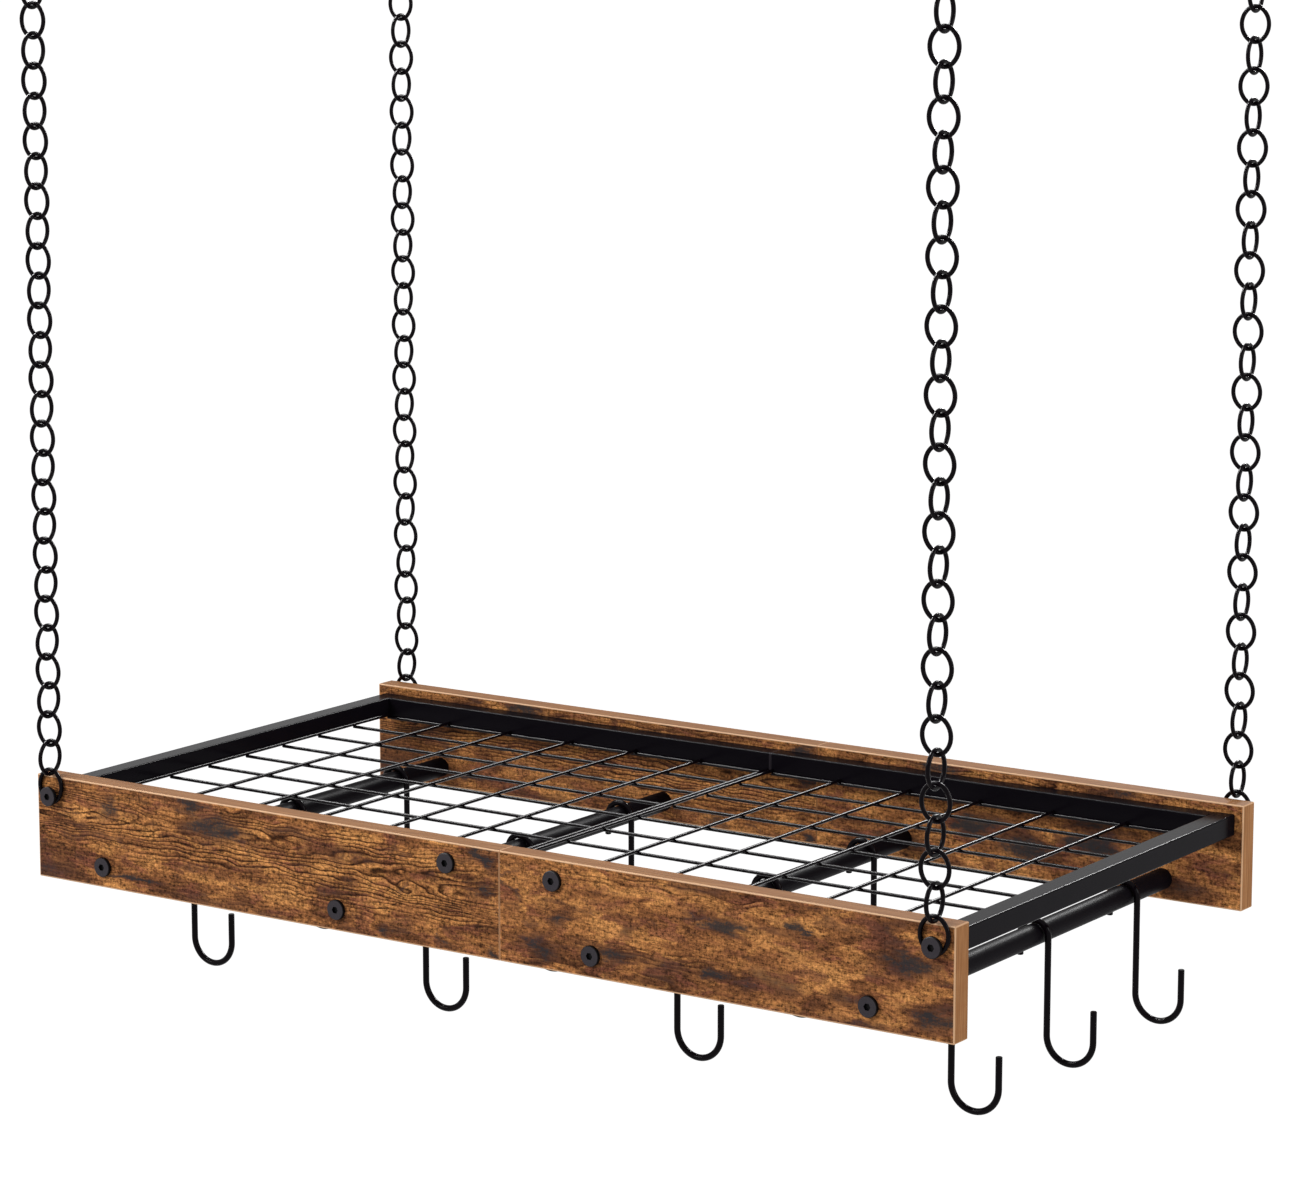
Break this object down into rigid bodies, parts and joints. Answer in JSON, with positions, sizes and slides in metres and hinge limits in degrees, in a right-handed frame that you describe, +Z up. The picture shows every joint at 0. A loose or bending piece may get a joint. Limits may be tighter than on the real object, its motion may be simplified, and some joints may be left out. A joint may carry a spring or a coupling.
{
  "type": "hanging pot rack",
  "caption": "Ceiling-hung pot rack: two rustic wooden sides, a wire grid in a black square-tube frame, cross bars with S-hooks, and chains on ceiling screw hooks.",
  "frame": {"origin": "on the ceiling plane, in the middle of the four screw hooks", "axes": "+X along the rack, to the right as seen from the front; +Y across it, from front to rear; +Z up, out of the ceiling side of the screw hooks"},
  "size_m": [1.01, 0.5836, 1.0405],
  "materials": {
    "wood": "matt, rustic grain",
    "black_metal": "satin",
    "dark_bolt_metal": "satin",
    "zinc": "satin"
  },
  "bodies": {
    "ceiling_hooks": {"ceiling_hook_front_left": "black_metal", "ceiling_hook_front_right": "black_metal", "ceiling_hook_rear_left": "black_metal", "ceiling_hook_rear_right": "black_metal"},
    "top_link_front_left": {"top_link_front_left": "black_metal"},
    "chain_front_left": {"chain_front_left": "black_metal"},
    "bottom_link_front_left": {"bottom_link_front_left": "black_metal"},
    "top_link_front_right": {"top_link_front_right": "black_metal"},
    "chain_front_right": {"chain_front_right": "black_metal"},
    "bottom_link_front_right": {"bottom_link_front_right": "black_metal"},
    "top_link_rear_left": {"top_link_rear_left": "black_metal"},
    "chain_rear_left": {"chain_rear_left": "black_metal"},
    "bottom_link_rear_left": {"bottom_link_rear_left": "black_metal"},
    "top_link_rear_right": {"top_link_rear_right": "black_metal"},
    "chain_rear_right": {"chain_rear_right": "black_metal"},
    "bottom_link_rear_right": {"bottom_link_rear_right": "black_metal"},
    "rack": {"board_front_left": "wood", "board_front_right": "wood", "board_rear_left": "wood", "board_rear_right": "wood", "side_rail_left": "black_metal", "side_rail_right": "black_metal", "front_rail_left": "black_metal", "front_rail_right": "black_metal", "rear_rail_left": "black_metal", "rear_rail_right": "black_metal", "grid_left": "black_metal", "grid_right": "black_metal", "sleeve_front": "zinc", "sleeve_rear": "zinc", "bar_1": "black_metal", "bar_2": "black_metal", "bar_3": "black_metal", "bar_4": "black_metal", "chain_bolts": "dark_bolt_metal", "frame_bolts": "dark_bolt_metal", "bar_bolts": "dark_bolt_metal", "rail_end_plugs": "zinc", "sleeve_nuts": "zinc", "bar_end_plugs": "zinc"},
    "hook_1_front": {"hook_1_front": "black_metal"},
    "hook_1_middle": {"hook_1_middle": "black_metal"},
    "hook_1_rear": {"hook_1_rear": "black_metal"},
    "hook_2_front": {"hook_2_front": "black_metal"},
    "hook_2_middle": {"hook_2_middle": "black_metal"},
    "hook_2_rear": {"hook_2_rear": "black_metal"},
    "hook_3_front": {"hook_3_front": "black_metal"},
    "hook_3_middle": {"hook_3_middle": "black_metal"},
    "hook_3_rear": {"hook_3_rear": "black_metal"},
    "hook_4_front": {"hook_4_front": "black_metal"},
    "hook_4_middle": {"hook_4_middle": "black_metal"},
    "hook_4_rear": {"hook_4_rear": "black_metal"}
  },
  "joints": [
    {"name": "swing_lengthwise", "type": "hinge", "parent": "ceiling_hooks", "child": "top_link_front_left", "pos_m": [-0.486, -0.2763, -0.0325], "axis": [0, 1, 0], "range_deg": [-12, 12]},
    {"name": "swing_crosswise", "type": "hinge", "parent": "top_link_front_left", "child": "chain_front_left", "pos_m": [-0.486, -0.2763, -0.05945], "axis": [1, 0, 0], "range_deg": [-12, 12]},
    {"name": "bottom_link_front_left_turn", "type": "hinge", "parent": "chain_front_left", "child": "bottom_link_front_left", "pos_m": [-0.486, -0.2763, -0.80585], "axis": [1, 0, 0], "range_deg": [-12, 12]},
    {"name": "rack_level", "type": "hinge", "parent": "bottom_link_front_left", "child": "rack", "pos_m": [-0.486, -0.2763, -0.83155], "axis": [0, 1, 0], "range_deg": [-12, 12]},
    {"name": "swing_lengthwise_front_right", "type": "hinge", "parent": "ceiling_hooks", "child": "top_link_front_right", "pos_m": [0.486, -0.2763, -0.0325], "axis": [0, 1, 0], "range_deg": [-12, 12]},
    {"name": "swing_crosswise_front_right", "type": "hinge", "parent": "top_link_front_right", "child": "chain_front_right", "pos_m": [0.486, -0.2763, -0.05945], "axis": [1, 0, 0], "range_deg": [-12, 12]},
    {"name": "bottom_link_front_right_turn", "type": "hinge", "parent": "chain_front_right", "child": "bottom_link_front_right", "pos_m": [0.486, -0.2763, -0.80585], "axis": [1, 0, 0], "range_deg": [-12, 12]},
    {"name": "swing_lengthwise_rear_left", "type": "hinge", "parent": "ceiling_hooks", "child": "top_link_rear_left", "pos_m": [-0.486, 0.2763, -0.0325], "axis": [0, 1, 0], "range_deg": [-12, 12]},
    {"name": "swing_crosswise_rear_left", "type": "hinge", "parent": "top_link_rear_left", "child": "chain_rear_left", "pos_m": [-0.486, 0.2763, -0.05945], "axis": [1, 0, 0], "range_deg": [-12, 12]},
    {"name": "bottom_link_rear_left_turn", "type": "hinge", "parent": "chain_rear_left", "child": "bottom_link_rear_left", "pos_m": [-0.486, 0.2763, -0.80585], "axis": [1, 0, 0], "range_deg": [-12, 12]},
    {"name": "swing_lengthwise_rear_right", "type": "hinge", "parent": "ceiling_hooks", "child": "top_link_rear_right", "pos_m": [0.486, 0.2763, -0.0325], "axis": [0, 1, 0], "range_deg": [-12, 12]},
    {"name": "swing_crosswise_rear_right", "type": "hinge", "parent": "top_link_rear_right", "child": "chain_rear_right", "pos_m": [0.486, 0.2763, -0.05945], "axis": [1, 0, 0], "range_deg": [-12, 12]},
    {"name": "bottom_link_rear_right_turn", "type": "hinge", "parent": "chain_rear_right", "child": "bottom_link_rear_right", "pos_m": [0.486, 0.2763, -0.80585], "axis": [1, 0, 0], "range_deg": [-12, 12]},
    {"name": "hook_1_front_swing", "type": "hinge", "parent": "rack", "child": "hook_1_front", "pos_m": [-0.423, -0.161, -0.89255], "axis": [0, 1, 0], "range_deg": [-75, 75]},
    {"name": "hook_1_middle_swing", "type": "hinge", "parent": "rack", "child": "hook_1_middle", "pos_m": [-0.423, 0.007, -0.89255], "axis": [0, 1, 0], "range_deg": [-75, 75]},
    {"name": "hook_1_rear_swing", "type": "hinge", "parent": "rack", "child": "hook_1_rear", "pos_m": [-0.423, 0.175, -0.89255], "axis": [0, 1, 0], "range_deg": [-75, 75]},
    {"name": "hook_2_front_swing", "type": "hinge", "parent": "rack", "child": "hook_2_front", "pos_m": [-0.141, -0.161, -0.89255], "axis": [0, 1, 0], "range_deg": [-75, 75]},
    {"name": "hook_2_middle_swing", "type": "hinge", "parent": "rack", "child": "hook_2_middle", "pos_m": [-0.141, 0.007, -0.89255], "axis": [0, 1, 0], "range_deg": [-75, 75]},
    {"name": "hook_2_rear_swing", "type": "hinge", "parent": "rack", "child": "hook_2_rear", "pos_m": [-0.141, 0.175, -0.89255], "axis": [0, 1, 0], "range_deg": [-75, 75]},
    {"name": "hook_3_front_swing", "type": "hinge", "parent": "rack", "child": "hook_3_front", "pos_m": [0.141, -0.161, -0.89255], "axis": [0, 1, 0], "range_deg": [-75, 75]},
    {"name": "hook_3_middle_swing", "type": "hinge", "parent": "rack", "child": "hook_3_middle", "pos_m": [0.141, 0.007, -0.89255], "axis": [0, 1, 0], "range_deg": [-75, 75]},
    {"name": "hook_3_rear_swing", "type": "hinge", "parent": "rack", "child": "hook_3_rear", "pos_m": [0.141, 0.175, -0.89255], "axis": [0, 1, 0], "range_deg": [-75, 75]},
    {"name": "hook_4_front_swing", "type": "hinge", "parent": "rack", "child": "hook_4_front", "pos_m": [0.423, -0.161, -0.89255], "axis": [0, 1, 0], "range_deg": [-75, 75]},
    {"name": "hook_4_middle_swing", "type": "hinge", "parent": "rack", "child": "hook_4_middle", "pos_m": [0.423, 0.007, -0.89255], "axis": [0, 1, 0], "range_deg": [-75, 75]},
    {"name": "hook_4_rear_swing", "type": "hinge", "parent": "rack", "child": "hook_4_rear", "pos_m": [0.423, 0.175, -0.89255], "axis": [0, 1, 0], "range_deg": [-75, 75]}
  ],
  "couplings": [
    {"joint": "bottom_link_front_left_turn", "follows": "swing_crosswise", "ratio": -1},
    {"joint": "rack_level", "follows": "swing_lengthwise", "ratio": -1},
    {"joint": "bottom_link_front_right_turn", "follows": "swing_crosswise", "ratio": -1},
    {"joint": "swing_lengthwise_front_right", "follows": "swing_lengthwise", "ratio": 1},
    {"joint": "swing_crosswise_front_right", "follows": "swing_crosswise", "ratio": 1},
    {"joint": "bottom_link_rear_left_turn", "follows": "swing_crosswise", "ratio": -1},
    {"joint": "swing_lengthwise_rear_left", "follows": "swing_lengthwise", "ratio": 1},
    {"joint": "swing_crosswise_rear_left", "follows": "swing_crosswise", "ratio": 1},
    {"joint": "bottom_link_rear_right_turn", "follows": "swing_crosswise", "ratio": -1},
    {"joint": "swing_lengthwise_rear_right", "follows": "swing_lengthwise", "ratio": 1},
    {"joint": "swing_crosswise_rear_right", "follows": "swing_crosswise", "ratio": 1}
  ]
}
